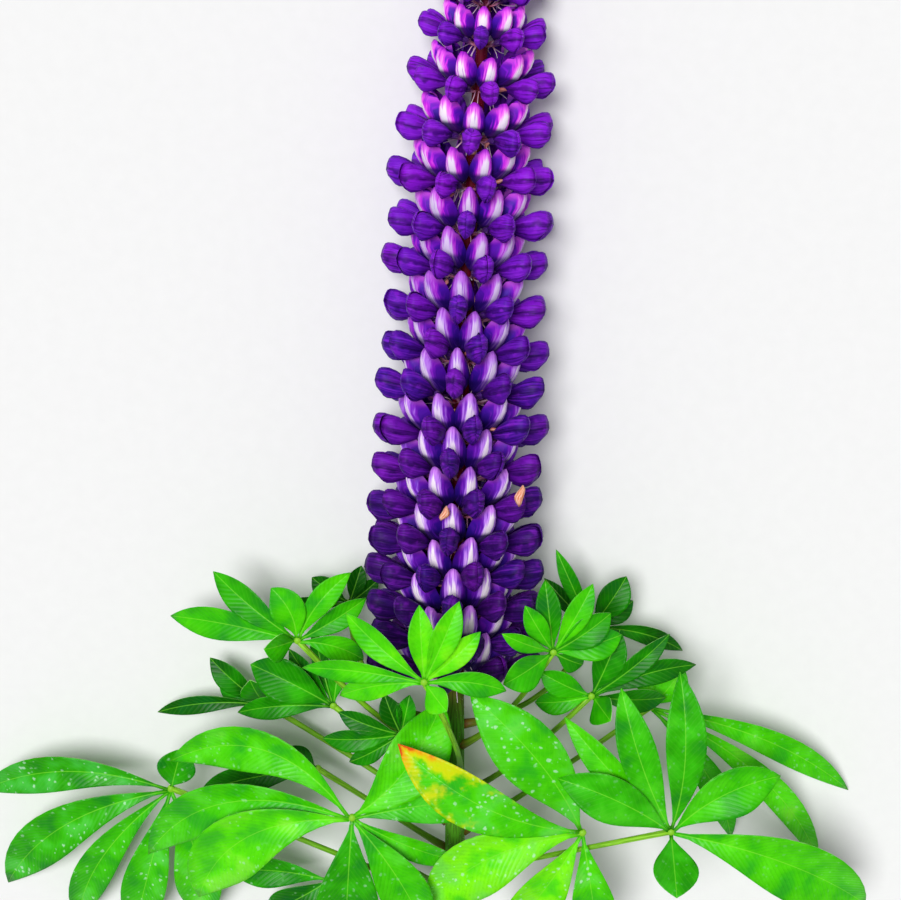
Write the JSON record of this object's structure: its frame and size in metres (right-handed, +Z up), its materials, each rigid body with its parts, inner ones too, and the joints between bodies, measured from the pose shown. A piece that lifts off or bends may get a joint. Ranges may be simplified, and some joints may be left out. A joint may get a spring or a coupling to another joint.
{
  "type": "lupin flower spike",
  "caption": "Picked lupin flower spike lying on its side: a long tapering raceme of whorled violet florets on its stem, with the palmate leaves that grow just below it.",
  "frame": {"origin": "middle of the bounding box's footprint, on the surface that the shoot lies on", "axes": "+Y along the spike towards its tip, +Z up from the surface, +X to the right of the spike seen from above"},
  "size_m": [0.3711, 0.4669, 0.0883],
  "materials": {
    "petals": "velvety petals, indigo-violet wings and white to magenta banners",
    "leaves": "smooth matt green leaf with a paler midrib"
  },
  "bodies": {
    "root": {"flower_spike": "petals", "leaf_over_base": "leaves", "leaf_left_upper": "leaves", "leaf_right_upper": "leaves", "leaf_right_middle": "leaves", "leaf_right_behind": "leaves", "leaf_right_large": "leaves", "leaf_left_large": "leaves", "leaf_left_far": "leaves", "leaf_right_far": "leaves", "leaf_low_centre": "leaves", "leaf_small_centre": "leaves", "leaf_left_inner": "leaves", "leaf_left_middle": "leaves", "leaf_left_behind": "leaves", "leaf_left_under": "leaves", "leaf_left_low": "leaves"}
  },
  "joints": []
}
